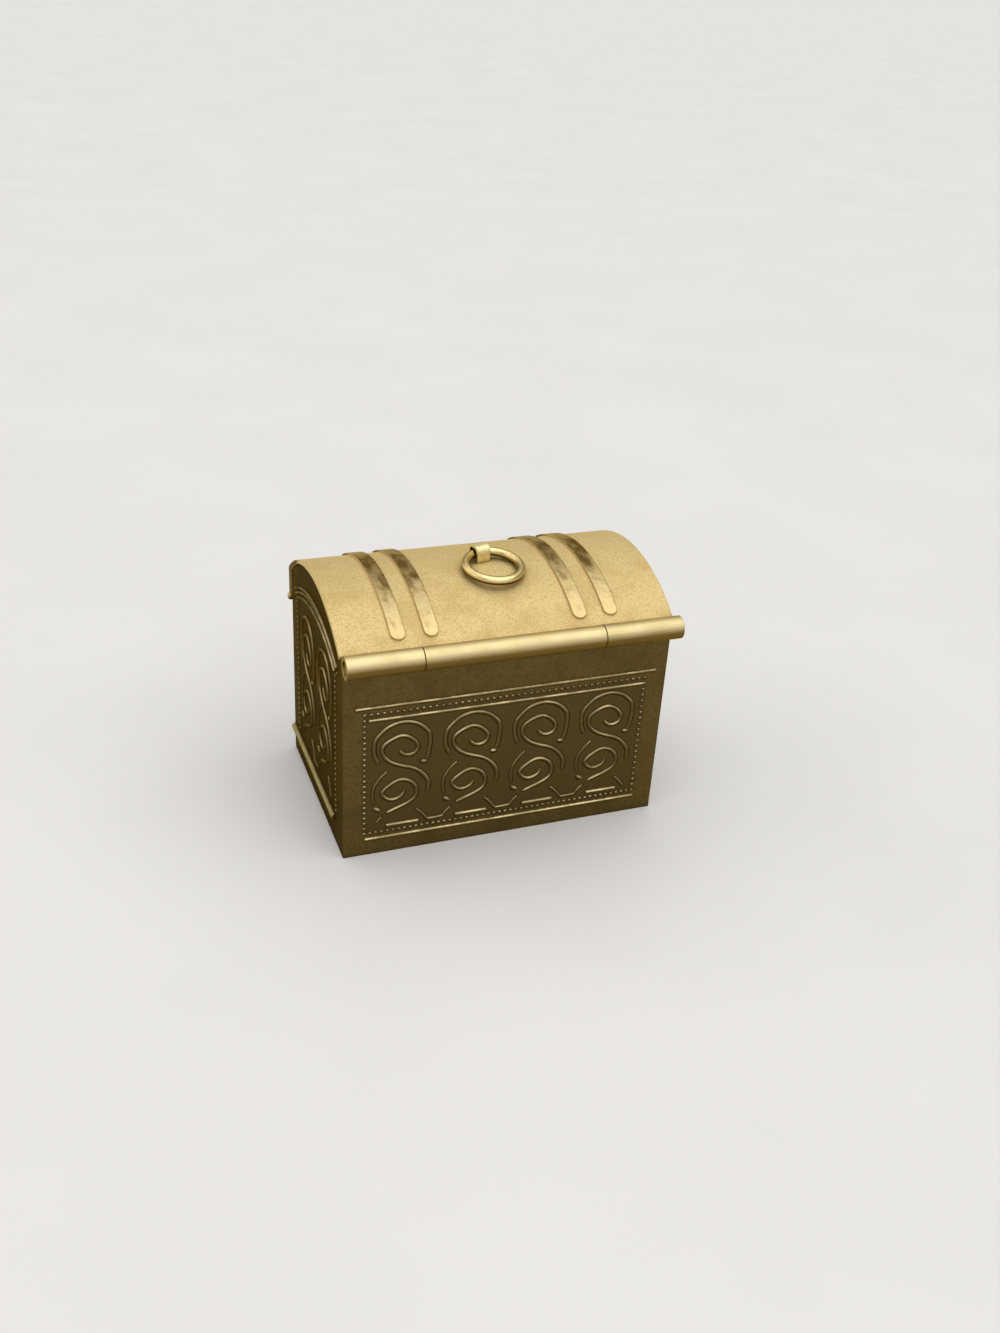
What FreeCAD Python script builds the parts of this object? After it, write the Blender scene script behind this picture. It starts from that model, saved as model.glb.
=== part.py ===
import FreeCAD, Part
import math
import os

from FreeCAD import Vector

# Trinket box: a small brass chest with a barrel lid, a full-length tube hinge along one long
# side, embossed panels and a pull ring on top of the lid.
# Millimetres. X runs along the box, -Y is the hinge side, +Y is the opening side, +Z is up.
# The origin is the centre of the bottom.

# Body
body_length = 70.0
body_depth = 45.0
wall_thickness = 1.1
base_thickness = 1.0
wall_top_height = 44.8

# Lid
lid_radius = 36.5
lid_edge_drop = 0.5
lid_thickness = 0.8
lid_overhang = 0.4
lid_running_gap = 0.35
skirt_length = 6.6
skirt_bend_radius = 1.2
edge_bead_diameter = 1.7
edge_bead_seat = 0.3
edge_bead_overhang = 0.3
edge_bead_chamfer = 0.3

# Straps embossed over the lid
strap_width = 3.0
strap_height = 0.45
strap_inner_offset = 15.8
strap_outer_offset = 22.6
strap_set_shift = -0.5
strap_half_angle = 33.4

# Hinge
hinge_axis_rise = 1.1
hinge_axis_outset = 1.5
knuckle_diameter = 4.8
knuckle_wall = 0.9
knuckle_end_gap = 0.2
left_knuckle_length = 15.6
right_knuckle_length = 17.4
right_knuckle_overhang = 1.0
knuckle_swing_gap = 0.3
knuckle_notch_depth = 0.7
pin_clearance = 0.05
pin_dome_diameter = 4.2
pin_dome_height = 0.9
pin_peen_recess = 0.3

# Pull ring and the bent strap that holds it
ring_outer_diameter = 13.4
ring_wire_diameter = 1.85
ring_rest_gap = 0.3
ring_head_room = 0.32
eye_turn = 12.0
eye_width = 3.1
eye_thickness = 0.6
eye_hole_depth = 2.55
eye_hole_height = 2.8
eye_corner_radius = 1.4
eye_slot_clearance = 0.08
eye_tang_length = 1.6

# Embossed frame of each long wall: half-round ribs round a row of four scrolls
rib_width = 0.86
frame_side_margin = 4.5
frame_inner_inset = 0.7
cornice_overhang = 2.0
frame_top_height = 35.4
frame_inner_top_height = 32.5
frame_bottom_height = 3.9
scroll_pitch = 15.0
scroll_foot_length = 6.9
scroll_foot_height = 6.7

# Embossed arches of each end, flat along the crest
arch_crest_width = 0.3
arch_radius = 38.3
arch_apex_height = 47.6
arch_half_width = 18.3
arch_spacing = 2.1
arch_inner_inset = 1.6

# Half-round moulding along the foot of each end
moulding_radius = 0.8
moulding_height = 5.6
moulding_start = 7.0

# Run of a cutting tool past the face that it cuts
overrun = 2.0

# How near the middle of an edge lies to the place that the edge is picked by
pick_tolerance = 0.01

# Values that several pieces share
half_length = body_length / 2
half_depth = body_depth / 2
hinge_axis_y = -half_depth - hinge_axis_outset
hinge_axis_height = wall_top_height + hinge_axis_rise
lid_centre_height = hinge_axis_height - lid_edge_drop - math.sqrt(lid_radius ** 2 - hinge_axis_y ** 2)
lid_apex_height = lid_centre_height + lid_radius
lid_inner_radius = lid_radius - lid_thickness
rib_radius = rib_width / 2
knuckle_radius = knuckle_diameter / 2
bore_radius = knuckle_radius - knuckle_wall
pin_radius = bore_radius - pin_clearance
left_knuckle_end = -half_length + left_knuckle_length
right_knuckle_tip = half_length + right_knuckle_overhang
right_knuckle_start = right_knuckle_tip - right_knuckle_length
lid_half_length = half_length + lid_overhang
skirt_inner_y = half_depth + lid_running_gap
skirt_outer_y = skirt_inner_y + lid_thickness
skirt_foot = lid_centre_height + math.sqrt(lid_radius ** 2 - skirt_outer_y ** 2) - skirt_length
edge_bead_radius = edge_bead_diameter / 2


def box_between(low, high):
    """A box from its lowest corner to its highest."""
    return Part.makeBox(high[0] - low[0], high[1] - low[1], high[2] - low[2], Vector(*low))


def rod_along_x(radius, start, end, y, z):
    """A solid cylinder along X."""
    return Part.makeCylinder(radius, end - start, Vector(start, y, z), Vector(1, 0, 0))


def arc_direction(angle):
    """Direction from the lid's centre line, its angle in degrees from the apex towards +Y."""
    turn = math.radians(angle)
    return Vector(0, math.sin(turn), math.cos(turn))


def arc_height(radius, y):
    """Height of the lid's circle of this radius over a place across the box."""
    return lid_centre_height + math.sqrt(radius ** 2 - y ** 2)


def arc_edge(x, radius, from_y, to_y):
    """An arc of the lid's circle in the plane of this x."""
    middle_y = (from_y + to_y) / 2
    points = [Vector(x, y, arc_height(radius, y)) for y in (from_y, middle_y, to_y)]
    return Part.Arc(*points).toShape()


def line_edge(start, end):
    """A straight edge between two points."""
    return Part.makeLine(Vector(*start), Vector(*end))


# Body

def base_plate():
    """The floor, let in between the four walls."""
    inset_x = half_length - wall_thickness
    inset_y = half_depth - wall_thickness
    return box_between((-inset_x, -inset_y, 0), (inset_x, inset_y, base_thickness))


def frame_ribs(outward_y):
    """The raised lines of a long wall, as rods half sunk in its outer face."""
    face_y = outward_y * half_depth
    frame_reach = half_length - frame_side_margin
    rows = (
        (frame_reach + cornice_overhang, frame_top_height),
        (frame_reach - frame_inner_inset, frame_inner_top_height),
        (frame_reach, frame_bottom_height),
    )
    ribs = [rod_along_x(rib_radius, -reach, reach, face_y, height) for reach, height in rows]
    half_foot = scroll_foot_length / 2
    for place in (-3, -1, 1, 3):
        middle = place * scroll_pitch / 2
        ribs.append(rod_along_x(rib_radius, middle - half_foot, middle + half_foot,
                                face_y, scroll_foot_height))
    return ribs


def arch_rib(side, radius, half_width):
    """A raised arch on an end panel, about the centre that all its arches share."""
    centre = Vector(0, 0, arch_apex_height - arch_radius)
    half_angle = math.degrees(math.asin(half_width / radius))
    half_crest = arch_crest_width / 2
    sunk, face, crest = (side * (half_length + proud) for proud in (-rib_radius, 0, rib_radius))
    section = ((sunk, rib_radius), (face, rib_radius), (crest, half_crest),
               (crest, -half_crest), (face, -rib_radius), (sunk, -rib_radius), (sunk, rib_radius))
    profile = Part.Face(Part.makePolygon(
        [centre + Vector(x, 0, radius + offset) for x, offset in section]))
    profile.rotate(centre, Vector(1, 0, 0), half_angle)
    return profile.revolve(centre, Vector(1, 0, 0), -2 * half_angle)


def hinge_side_wall():
    """The long wall under the hinge, its top edge hollowed to seat the tube knuckles."""
    wall = box_between((-half_length, -half_depth, 0),
                       (half_length, -half_depth + wall_thickness, wall_top_height))
    wall = wall.multiFuse(frame_ribs(-1)).removeSplitter()
    seat = rod_along_x(knuckle_radius, -half_length - overrun, right_knuckle_tip + overrun,
                       hinge_axis_y, hinge_axis_height)
    swing_start = left_knuckle_end - knuckle_end_gap
    swing_end = right_knuckle_start + knuckle_end_gap
    swing = rod_along_x(knuckle_radius + knuckle_swing_gap, swing_start, swing_end,
                        hinge_axis_y, hinge_axis_height)
    notch = box_between(
        (swing_start, -half_depth - overrun, wall_top_height - knuckle_notch_depth),
        (swing_end, -half_depth + wall_thickness + overrun, wall_top_height + overrun))
    return wall.cut(seat).cut(swing).cut(notch)


def opening_side_wall():
    """The long wall that the lid's skirt closes over."""
    top = arc_height(lid_inner_radius, half_depth) - lid_running_gap
    wall = box_between((-half_length, half_depth - wall_thickness, 0), (half_length, half_depth, top))
    return wall.multiFuse(frame_ribs(1)).removeSplitter()


def end_panel(side):
    """An arched end, as tall as the vault of the lid; side is -1 for left and 1 for right."""
    reach = half_depth - wall_thickness
    arch = lid_inner_radius - lid_running_gap
    outer_x = side * half_length
    shoulder = arc_height(arch, reach)
    edges = [
        line_edge((outer_x, -reach, 0), (outer_x, reach, 0)),
        line_edge((outer_x, reach, 0), (outer_x, reach, shoulder)),
        arc_edge(outer_x, arch, reach, -reach),
        line_edge((outer_x, -reach, shoulder), (outer_x, -reach, 0)),
    ]
    panel = Part.Face(Part.Wire(edges)).extrude(Vector(-side * wall_thickness, 0, 0))
    ribs = [
        arch_rib(side, arch_radius, arch_half_width),
        arch_rib(side, arch_radius - arch_spacing, arch_half_width - arch_inner_inset),
    ]
    return panel.multiFuse(ribs).removeSplitter()


def base_moulding(side):
    """The half-round strip along the foot of an end panel."""
    start = -half_depth + moulding_start
    face_x = side * half_length
    rod = Part.makeCylinder(moulding_radius, half_depth - start,
                            Vector(face_x, start, moulding_height), Vector(0, 1, 0))
    inner = box_between(
        (min(face_x, face_x - side * overrun), start - overrun, moulding_height - overrun),
        (max(face_x, face_x - side * overrun), half_depth + overrun, moulding_height + overrun))
    return rod.cut(inner)


# Hinge

def knuckle(start, end):
    """A piece of drawn tube on the hinge axis."""
    outer = rod_along_x(knuckle_radius, start, end, hinge_axis_y, hinge_axis_height)
    bore = rod_along_x(bore_radius, start - overrun, end + overrun, hinge_axis_y, hinge_axis_height)
    return outer.cut(bore)


def hinge_knuckle_left():
    return knuckle(-half_length, left_knuckle_end - knuckle_end_gap)


def hinge_knuckle_lid():
    return knuckle(left_knuckle_end, right_knuckle_start)


def hinge_knuckle_right():
    return knuckle(right_knuckle_start + knuckle_end_gap, right_knuckle_tip)


def hinge_pin():
    """The pin through all three knuckles, with a domed head on the right-hand end."""
    shank = rod_along_x(pin_radius, -half_length + pin_peen_recess, right_knuckle_tip,
                        hinge_axis_y, hinge_axis_height)
    head_radius = pin_dome_diameter / 2
    sphere_radius = (head_radius ** 2 + pin_dome_height ** 2) / (2 * pin_dome_height)
    centre_x = right_knuckle_tip + pin_dome_height - sphere_radius
    ball = Part.makeSphere(sphere_radius, Vector(centre_x, hinge_axis_y, hinge_axis_height))
    cup = rod_along_x(head_radius, right_knuckle_tip, right_knuckle_tip + pin_dome_height + overrun,
                      hinge_axis_y, hinge_axis_height)
    return shank.fuse(ball.common(cup)).removeSplitter()


# Lid

def lid_profile_face(x):
    """Cross-section of the lid: the vault, and the skirt down the opening side."""
    start_y = -half_depth - hinge_axis_outset
    outer_corner = arc_height(lid_radius, skirt_outer_y)
    inner_corner = arc_height(lid_inner_radius, skirt_inner_y)
    edges = [
        arc_edge(x, lid_radius, start_y, skirt_outer_y),
        line_edge((x, skirt_outer_y, outer_corner), (x, skirt_outer_y, skirt_foot)),
        line_edge((x, skirt_outer_y, skirt_foot), (x, skirt_inner_y, skirt_foot)),
        line_edge((x, skirt_inner_y, skirt_foot), (x, skirt_inner_y, inner_corner)),
        arc_edge(x, lid_inner_radius, skirt_inner_y, start_y),
        line_edge((x, start_y, arc_height(lid_inner_radius, start_y)),
                  (x, start_y, arc_height(lid_radius, start_y))),
    ]
    return Part.Face(Part.Wire(edges))


def strap(offset):
    """One embossed band over the lid: a ring sector with rounded ends."""
    outer_radius = lid_radius + strap_height
    half_width = strap_width / 2
    end_angle = math.degrees(half_width / lid_radius)
    straight = strap_half_angle - end_angle
    reach = outer_radius + overrun
    tube = rod_along_x(outer_radius, offset - half_width, offset + half_width, 0, lid_centre_height)
    core = rod_along_x(lid_radius - lid_thickness / 2, offset - half_width - overrun,
                       offset + half_width + overrun, 0, lid_centre_height)
    ring = tube.cut(core)
    centre = Vector(offset - half_width, 0, lid_centre_height)
    near_corner = centre + arc_direction(-straight) * reach
    far_corner = centre + arc_direction(straight) * reach
    above = Vector(0, 0, reach)
    wedge = Part.makePolygon([
        centre, near_corner, near_corner + above, far_corner + above, far_corner, centre])
    band = ring.common(Part.Face(wedge).extrude(Vector(strap_width, 0, 0)))
    ends = []
    for side in (-1, 1):
        stub = Part.makeCylinder(half_width, reach, Vector(offset, 0, lid_centre_height),
                                 arc_direction(side * straight))
        ends.append(stub.common(ring))
    return band.multiFuse(ends).removeSplitter()


def turned(shape):
    """A shape that was made square to the box, turned to stand as the eye does."""
    shape.rotate(Vector(0, 0, 0), Vector(0, 0, 1), eye_turn)
    return shape


def eye_slots():
    """The two slots in the lid that the eye's legs pass through."""
    half_width = eye_width / 2 + eye_slot_clearance
    near = eye_hole_depth / 2 - eye_slot_clearance
    far = eye_hole_depth / 2 + eye_thickness + eye_slot_clearance
    low_z = lid_apex_height - lid_thickness - overrun
    high_z = lid_apex_height + overrun
    slots = []
    for side in (-1, 1):
        low_y = min(side * near, side * far)
        high_y = max(side * near, side * far)
        slots.append(turned(box_between((-half_width, low_y, low_z), (half_width, high_y, high_z))))
    return slots


def lid_shell():
    """The barrel vault with its skirt, its four straps and the slots for the eye."""
    shell = lid_profile_face(-lid_half_length).extrude(Vector(2 * lid_half_length, 0, 0))
    outer_corner = arc_height(lid_radius, skirt_outer_y)
    bends = [edge for edge in shell.Edges
             if abs(edge.CenterOfMass.y - skirt_outer_y) < pick_tolerance
             and abs(edge.CenterOfMass.z - outer_corner) < pick_tolerance]
    shell = shell.makeFillet(skirt_bend_radius, bends)
    offsets = (-strap_outer_offset, -strap_inner_offset, strap_inner_offset, strap_outer_offset)
    straps = [strap(offset + strap_set_shift) for offset in offsets]
    shell = shell.multiFuse(straps).removeSplitter()
    seat = rod_along_x(knuckle_radius, -lid_half_length - overrun, right_knuckle_tip + overrun,
                       hinge_axis_y, hinge_axis_height)
    front_cut = box_between(
        (-lid_half_length - overrun, -half_depth - hinge_axis_outset - overrun, 0),
        (lid_half_length + overrun, hinge_axis_y + bore_radius, lid_apex_height))
    shell = shell.cut(seat).cut(front_cut)
    swing_radius = knuckle_radius + knuckle_swing_gap
    for start, end in ((-lid_half_length - overrun, left_knuckle_end),
                       (right_knuckle_start, right_knuckle_tip + overrun)):
        shell = shell.cut(rod_along_x(swing_radius, start, end, hinge_axis_y, hinge_axis_height))
    shell = shell.cut(bead_rod(overrun))
    for slot in eye_slots():
        shell = shell.cut(slot)
    return shell


def bead_rod(extra):
    """The wire's cylinder, longer than the lid by this much at each end."""
    return rod_along_x(edge_bead_radius, -lid_half_length - extra, lid_half_length + extra,
                       skirt_inner_y + edge_bead_radius, skirt_foot - edge_bead_radius + edge_bead_seat)


def lid_edge_bead():
    """The round wire that stiffens the lower edge of the skirt, seated in its hollowed foot."""
    wire = bead_rod(edge_bead_overhang)
    rims = [edge for edge in wire.Edges if abs(edge.CenterOfMass.x) > lid_half_length]
    return wire.makeChamfer(edge_bead_chamfer, rims)


# Pull ring

def ring_eye():
    """A strap bent over the ring's wire, its legs through the lid and clinched beneath."""
    half_hole = eye_hole_depth / 2
    half_width = eye_width / 2
    leg_y = half_hole + eye_thickness
    tang_top = lid_centre_height + math.sqrt(lid_inner_radius ** 2 - leg_y ** 2)
    foot = tang_top - eye_thickness
    hole_top = lid_apex_height + eye_hole_height
    top = hole_top + eye_thickness
    outer = box_between((-half_width, -leg_y, foot), (half_width, leg_y, top))
    outer_edges = [edge for edge in outer.Edges
                   if abs(edge.CenterOfMass.z - top) < pick_tolerance
                   and abs(edge.CenterOfMass.y) > half_hole]
    outer = outer.makeFillet(eye_corner_radius, outer_edges)
    hole = box_between((-half_width - overrun, -half_hole, foot - overrun),
                       (half_width + overrun, half_hole, hole_top))
    hole_edges = [edge for edge in hole.Edges
                  if abs(edge.CenterOfMass.z - hole_top) < pick_tolerance
                  and abs(edge.CenterOfMass.y) > half_hole / 2]
    hole = hole.makeFillet(eye_corner_radius - eye_thickness, hole_edges)
    tangs = []
    for side in (-1, 1):
        near = side * half_hole
        far = side * (leg_y + eye_tang_length)
        low = (-half_width, min(near, far), foot)
        high = (half_width, max(near, far), tang_top)
        tangs.append(box_between(low, high))
    under_lid = rod_along_x(lid_inner_radius, -eye_width, eye_width, 0, lid_centre_height)
    tangs = [turned(tang).common(under_lid) for tang in tangs]
    strap_shape = turned(outer.cut(hole))
    return strap_shape.multiFuse(tangs).removeSplitter()


def ring_pivot_height():
    """Height of the line that the ring swings about, with head room for its curve in the eye."""
    return lid_apex_height + eye_hole_height - ring_wire_diameter / 2 - ring_head_room


def ring_rest_tilt():
    """Slope in degrees at which the ring lies on the vault with its gap."""
    wire_radius = ring_wire_diameter / 2
    spare = ring_pivot_height() - lid_apex_height - wire_radius - ring_rest_gap
    rise = math.sqrt(2 * spare / (lid_radius + wire_radius))
    return math.degrees(math.atan(rise))


def pull_ring():
    """The ring, lying forward on the vault from the eye."""
    mean_radius = (ring_outer_diameter - ring_wire_diameter) / 2
    pivot = Vector(0, 0, ring_pivot_height())
    ring = Part.makeTorus(mean_radius, ring_wire_diameter / 2)
    ring.translate(pivot + Vector(0, -mean_radius, 0))
    ring.rotate(pivot, Vector(1, 0, 0), ring_rest_tilt())
    return turned(ring)


parts = {
    "base_plate": base_plate(),
    "hinge_side_wall": hinge_side_wall(),
    "opening_side_wall": opening_side_wall(),
    "left_end_panel": end_panel(-1),
    "right_end_panel": end_panel(1),
    "left_base_moulding": base_moulding(-1),
    "right_base_moulding": base_moulding(1),
    "hinge_knuckle_left": hinge_knuckle_left(),
    "hinge_knuckle_right": hinge_knuckle_right(),
    "hinge_knuckle_lid": hinge_knuckle_lid(),
    "hinge_pin": hinge_pin(),
    "lid_shell": lid_shell(),
    "lid_edge_bead": lid_edge_bead(),
    "ring_eye": ring_eye(),
    "pull_ring": pull_ring(),
}

os.makedirs("parts", exist_ok=True)
for name, shape in parts.items():
    shape.exportStep("parts/" + name + ".step")
    print(name, "solids", len(shape.Solids), "valid", shape.isValid(), "volume", round(shape.Volume, 2))
print("ring pivot height", ring_pivot_height(), "ring rest tilt", ring_rest_tilt())
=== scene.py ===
"""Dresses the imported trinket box: a small embossed brass chest with a barrel lid and a pull ring."""
import logging
import math
from dataclasses import dataclass
from enum import Enum
from itertools import accumulate
from typing import Iterable, Sequence

import bpy
from mathutils import Matrix, Vector


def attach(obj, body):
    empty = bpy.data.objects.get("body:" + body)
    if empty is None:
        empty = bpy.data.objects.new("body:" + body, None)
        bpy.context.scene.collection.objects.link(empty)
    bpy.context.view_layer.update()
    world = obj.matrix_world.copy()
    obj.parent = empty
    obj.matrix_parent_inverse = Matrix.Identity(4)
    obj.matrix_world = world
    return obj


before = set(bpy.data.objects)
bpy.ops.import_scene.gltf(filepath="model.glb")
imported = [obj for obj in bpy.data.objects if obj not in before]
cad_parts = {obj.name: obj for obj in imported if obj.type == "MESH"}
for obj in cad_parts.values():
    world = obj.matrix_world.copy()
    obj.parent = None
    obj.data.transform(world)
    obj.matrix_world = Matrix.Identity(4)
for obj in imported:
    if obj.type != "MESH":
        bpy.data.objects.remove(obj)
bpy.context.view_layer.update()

MM = 0.001
PHOTO_HEIGHT_PX = 1333
SMOOTH = "SMOOTHSTEP"
Point = tuple[float, float]
Range = tuple[float, float]
Socket = bpy.types.NodeSocket
Colour = tuple[float, float, float, float]

log = logging.getLogger("trinket_box")


def srgb(hex_colour: str) -> Colour:
    """Turns an sRGB hex colour to the linear values that the shader takes.

    Args:
        hex_colour: six hex digits after a hash.

    Returns:
        Linear red, green, blue and an alpha of 1.
    """
    channels = [int(hex_colour[place:place + 2], 16) / 255 for place in (1, 3, 5)]
    linear = [c / 12.92 if c <= 0.04045 else ((c + 0.055) / 1.055) ** 2.4 for c in channels]
    return (*linear, 1.0)


def add(tree: bpy.types.NodeTree, kind: str, inputs: dict | None = None, output: str | int = 0,
        **settings) -> Socket:
    """Adds a node with its settings, and sets or links its inputs.

    Args:
        tree: the node tree that gets the node.
        kind: the node's type name.
        inputs: a value or another node's output for each input, by name or place.
        output: the name or place of the output that is wanted.
        settings: the node's own properties.

    Returns:
        The node's output.
    """
    node = tree.nodes.new(kind)
    for name, value in settings.items():
        setattr(node, name, value)
    for name, value in (inputs or {}).items():
        if isinstance(value, Socket):
            tree.links.new(value, node.inputs[name])
        else:
            node.inputs[name].default_value = value
    return node.outputs[output]


def put_in_scene(name: str, data: bpy.types.ID) -> bpy.types.Object:
    """Makes an object and links it to the scene.

    Args:
        name: the object's name.
        data: its mesh, light or camera.

    Returns:
        The object.
    """
    thing = bpy.data.objects.new(name, data)
    bpy.context.scene.collection.objects.link(thing)
    return thing


# Sizes that the finishes and the embossing share

@dataclass(frozen=True)
class BoxSizes:
    """Sizes of the box that the finishes and the embossing are laid out by, in millimetres.

    Attributes:
        half_length, half_depth: how far the outer faces of the walls lie from the middle.
        lid_radius: radius of the lid's outer face.
        lid_centre_height: height of that round's axis over the foot.
        skirt_reach: how far the outer face of the lid's skirt lies from the middle.
        inner_face: heights over the outer face, less than nothing, over which a sheet's inside begins.
    """

    half_length: float = 35.0
    half_depth: float = 22.5
    lid_radius: float = 36.5
    lid_centre_height: float = 17.9
    skirt_reach: float = 23.65
    inner_face: Range = (-0.5, -0.7)


@dataclass(frozen=True)
class BeadedFrame:
    """The rows of beads round the scrolls, in millimetres from the middle of each face's foot.

    Attributes:
        left_reach, right_reach: how far the upright rows of a long wall lie from the middle.
        top, bottom: heights of its level rows.
        left_pitch, right_pitch, top_pitch, bottom_pitch: distance from bead to bead in each row.
        end_reach: how far the upright rows of an end lie from the middle.
    """

    left_reach: float = 30.58
    right_reach: float = 30.17
    top: float = 33.85
    bottom: float = 5.3
    left_pitch: float = 1.28
    right_pitch: float = 1.395
    top_pitch: float = 1.36
    bottom_pitch: float = 1.23
    bead_width: float = 1.0
    bead_height: float = 0.28
    end_reach: float = 16.9


SIZES = BoxSizes()
FRAME = BeadedFrame()


# Finishes

class Ground(Enum):
    """The faces that a finish measures height from, to tell raised work from what it stands on."""

    WALLS = "outer faces of the walls"
    LID = "outer face of the lid"


class Surface:
    """A finish in the making: what its shader will be given, built up layer by layer."""

    # Grime and painted shade gather where nearby metal hides the sky: how near, from what open share, and
    # how much
    SHELTER_MM = 1.6
    OPEN_SKY: Range = (0.85, 0.3)
    MOST_GRIME_AND_SHADE = 0.85

    def __init__(self, material: bpy.types.Material, colour: str, roughness: float) -> None:
        """Starts from one plain colour.

        Args:
            material: the material to fill.
            colour: its colour.
            roughness: its roughness.
        """
        material.use_nodes = True
        self.tree = material.node_tree
        self.place = add(self.tree, "ShaderNodeTexCoord", output="Object")
        self.along, self.across, self.up = (
            add(self.tree, "ShaderNodeSeparateXYZ", {0: self.place}, axis) for axis in "XYZ")
        facing = add(self.tree, "ShaderNodeTexCoord", output="Normal")
        self.faces_along, self.faces_up = (
            add(self.tree, "ShaderNodeSeparateXYZ", {0: facing}, axis) for axis in "XZ")
        self.colour: Socket | Colour = srgb(colour)
        self.roughness: Socket | float = roughness
        self.height: Socket | float = 0.0

    def patches(self, width_mm: float, limits: Range, detail: float = 2.0,
                stretch: Sequence[float] = (1.0, 1.0, 1.0)) -> Socket:
        """Irregular patches over the surface.

        Args:
            width_mm: how wide one patch is.
            limits: values of the pattern where a patch begins and where it is full.
            detail: how ragged its outline is.
            stretch: how far it is drawn out along x, y and z.

        Returns:
            The share of a patch at each point, from 0 to 1.
        """
        thin, thick = limits
        drawn = add(self.tree, "ShaderNodeMapping",
                    {"Vector": self.place, "Scale": [1 / share for share in stretch]})
        pattern = add(self.tree, "ShaderNodeTexNoise",
                      {"Vector": drawn, "Scale": 1 / (width_mm * MM), "Detail": detail})
        return add(self.tree, "ShaderNodeMapRange",
                   {"Value": pattern, "From Min": thin, "From Max": thick}, interpolation_type=SMOOTH)

    def layer(self, share: Socket, colour: str, roughness: float | None = None) -> None:
        """Lays a colour, and a roughness if it has one, over a share of the surface.

        Args:
            share: how much of it covers each point, from 0 to 1.
            colour: its colour.
            roughness: its roughness, or none to keep what is there.
        """
        self.colour = add(self.tree, "ShaderNodeMix", {0: share, 6: self.colour, 7: srgb(colour)}, 2,
                          data_type="RGBA")
        if roughness is not None:
            self.roughness = add(self.tree, "ShaderNodeMix", {0: share, 2: self.roughness, 3: roughness},
                                 data_type="FLOAT")

    def layer_between(self, value: Socket, limits: Range, colour: str,
                      roughness: float | None = None) -> Socket:
        """Lays a colour, and a roughness if it has one, where a value passes between two limits.

        Args:
            value: the value that decides.
            limits: what it is where the layer begins and where it is full.
            colour: the layer's colour.
            roughness: its roughness, or none to keep what is there.

        Returns:
            The layer's share at each point, from 0 to 1.
        """
        start, full = limits
        share = add(self.tree, "ShaderNodeMapRange", {"Value": value, "From Min": start, "From Max": full},
                    interpolation_type=SMOOTH)
        self.layer(share, colour, roughness)
        return share

    def over_ground(self, ground: Ground) -> Socket:
        """Measures how far each point stands over the outer faces.

        Args:
            ground: which faces.

        Returns:
            The height in millimetres, less than nothing inside them.
        """
        tree = self.tree
        across = self.across
        if ground is Ground.LID:
            rise = add(tree, "ShaderNodeMath", {0: self.up, 1: SIZES.lid_centre_height * MM},
                       operation="SUBTRACT")
            spoke = add(tree, "ShaderNodeCombineXYZ", {"Y": across, "Z": rise})
            length = add(tree, "ShaderNodeVectorMath", {0: spoke}, "Value", operation="LENGTH")
            pairs = ((length, SIZES.lid_radius), (across, SIZES.skirt_reach))
        else:
            along = add(tree, "ShaderNodeMath", {0: self.along}, operation="ABSOLUTE")
            across = add(tree, "ShaderNodeMath", {0: across}, operation="ABSOLUTE")
            pairs = ((along, SIZES.half_length), (across, SIZES.half_depth))
        first, second = (add(tree, "ShaderNodeMath", {0: reach, 1: face * MM}, operation="SUBTRACT")
                         for reach, face in pairs)
        furthest = add(tree, "ShaderNodeMath", {0: first, 1: second}, operation="MAXIMUM")
        return add(tree, "ShaderNodeMath", {0: furthest, 1: MM}, operation="DIVIDE")

    def finish(self, grime_and_shade: str, edge_mm: float, glance: str) -> None:
        """Adds grime and painted shade in the corners and wear on the edges, and fills the shader.

        Args:
            grime_and_shade: colour of the tarnish and painted shade in corners that a cloth doesn't reach.
            edge_mm: radius that the edges are worn to.
            glance: tint of the metal seen edge on.
        """
        tree = self.tree
        sky = add(tree, "ShaderNodeAmbientOcclusion", {"Distance": self.SHELTER_MM * MM}, "AO", samples=6)
        start, full = self.OPEN_SKY
        shelter_shade_share = add(tree, "ShaderNodeMapRange",
                        {"Value": sky, "From Min": start, "From Max": full, "To Max": self.MOST_GRIME_AND_SHADE},
                        interpolation_type=SMOOTH)
        # Lays grime together with painted shade where nearby metal hides the sky
        self.layer(shelter_shade_share, grime_and_shade)
        worn = add(tree, "ShaderNodeBevel", {"Radius": edge_mm * MM}, samples=4)
        height = add(tree, "ShaderNodeMath", {0: self.height, 1: MM}, operation="MULTIPLY")
        bump = add(tree, "ShaderNodeBump", {"Height": height, "Distance": 1.0, "Normal": worn})
        shader = tree.nodes["Principled BSDF"]
        shader.inputs["Metallic"].default_value = 1.0
        tree.links.new(self.colour, shader.inputs["Base Color"])
        tree.links.new(self.roughness, shader.inputs["Roughness"])
        tree.links.new(bump, shader.inputs["Normal"])
        shader.inputs["Specular Tint"].default_value = srgb(glance)


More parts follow.
